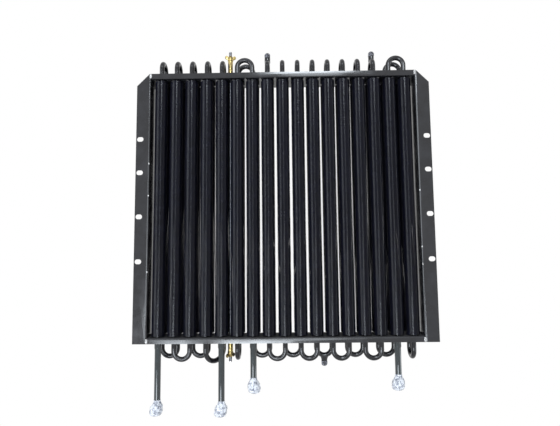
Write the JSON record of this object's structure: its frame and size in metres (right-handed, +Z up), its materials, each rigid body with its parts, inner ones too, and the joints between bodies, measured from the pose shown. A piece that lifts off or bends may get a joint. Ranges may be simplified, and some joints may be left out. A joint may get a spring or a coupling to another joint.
{
  "type": "hydraulic oil cooler",
  "caption": "Hydraulic oil cooler: black finned tubes in a folded steel frame with slotted side flanges, hairpin bends above, return bends below, and covered port pipes hanging under it.",
  "frame": {"origin": "centre of the cooler's bounding box", "axes": "+Z up along the tubes, from the port pipes to the hairpins; +X along the columns of tubes, to the right as seen from the flanges' side; +Y from the mounting flanges to the back, the way through which the air goes"},
  "size_m": [0.721, 0.076, 0.8986],
  "materials": {
    "frame_paint": "semi-gloss black",
    "tube_paint": "gloss black",
    "zinc": "bright zinc plated",
    "yellow_zinc": "yellow passivated zinc on steel",
    "clear_film": "soft clear plastic"
  },
  "bodies": {
    "root": {"arch_06_07_back": "tube_paint", "arch_06_07_front": "tube_paint", "arch_16_17_back": "tube_paint", "arch_16_17_front": "tube_paint", "bleed_plug_1": "tube_paint", "bleed_plug_2": "tube_paint", "bottom_channel": "frame_paint", "corner_weld_1": "frame_paint", "corner_weld_2": "frame_paint", "corner_weld_3": "frame_paint", "corner_weld_4": "frame_paint", "drain_plug": "tube_paint", "hairpin_01": "tube_paint", "hairpin_02": "tube_paint", "hairpin_03": "tube_paint", "hairpin_04": "tube_paint", "hairpin_05": "tube_paint", "hairpin_08": "tube_paint", "hairpin_09": "tube_paint", "hairpin_10": "tube_paint", "hairpin_11": "tube_paint", "hairpin_12": "tube_paint", "hairpin_13": "tube_paint", "hairpin_14": "tube_paint", "hairpin_15": "tube_paint", "left_side_plate": "frame_paint", "lower_spacer": "yellow_zinc", "lower_wing_nut": "yellow_zinc", "port_cover_1": "clear_film", "port_cover_2": "clear_film", "port_cover_3": "clear_film", "port_cover_4": "clear_film", "port_pipe_1": "tube_paint", "port_pipe_2": "tube_paint", "port_pipe_3": "tube_paint", "port_pipe_4": "tube_paint", "return_bend_01b_02b": "tube_paint", "return_bend_02f_03f": "tube_paint", "return_bend_03b_04b": "tube_paint", "return_bend_04f_05b": "tube_paint", "return_bend_06f_06b": "tube_paint", "return_bend_07b_08b": "tube_paint", "return_bend_08f_09f": "tube_paint", "return_bend_09b_10b": "tube_paint", "return_bend_10f_11f": "tube_paint", "return_bend_11b_12b": "tube_paint", "return_bend_12f_13f": "tube_paint", "return_bend_13b_14b": "tube_paint", "return_bend_14f_15f": "tube_paint", "return_bend_15b_16b": "tube_paint", "return_bend_17f_17b": "tube_paint", "right_side_plate": "frame_paint", "tie_rod": "zinc", "top_channel": "frame_paint", "union_nut_1": "zinc", "union_nut_2": "zinc", "union_nut_3": "zinc", "union_nut_4": "zinc", "upper_spacer": "yellow_zinc", "upper_wing_nut": "yellow_zinc"}
  },
  "joints": []
}
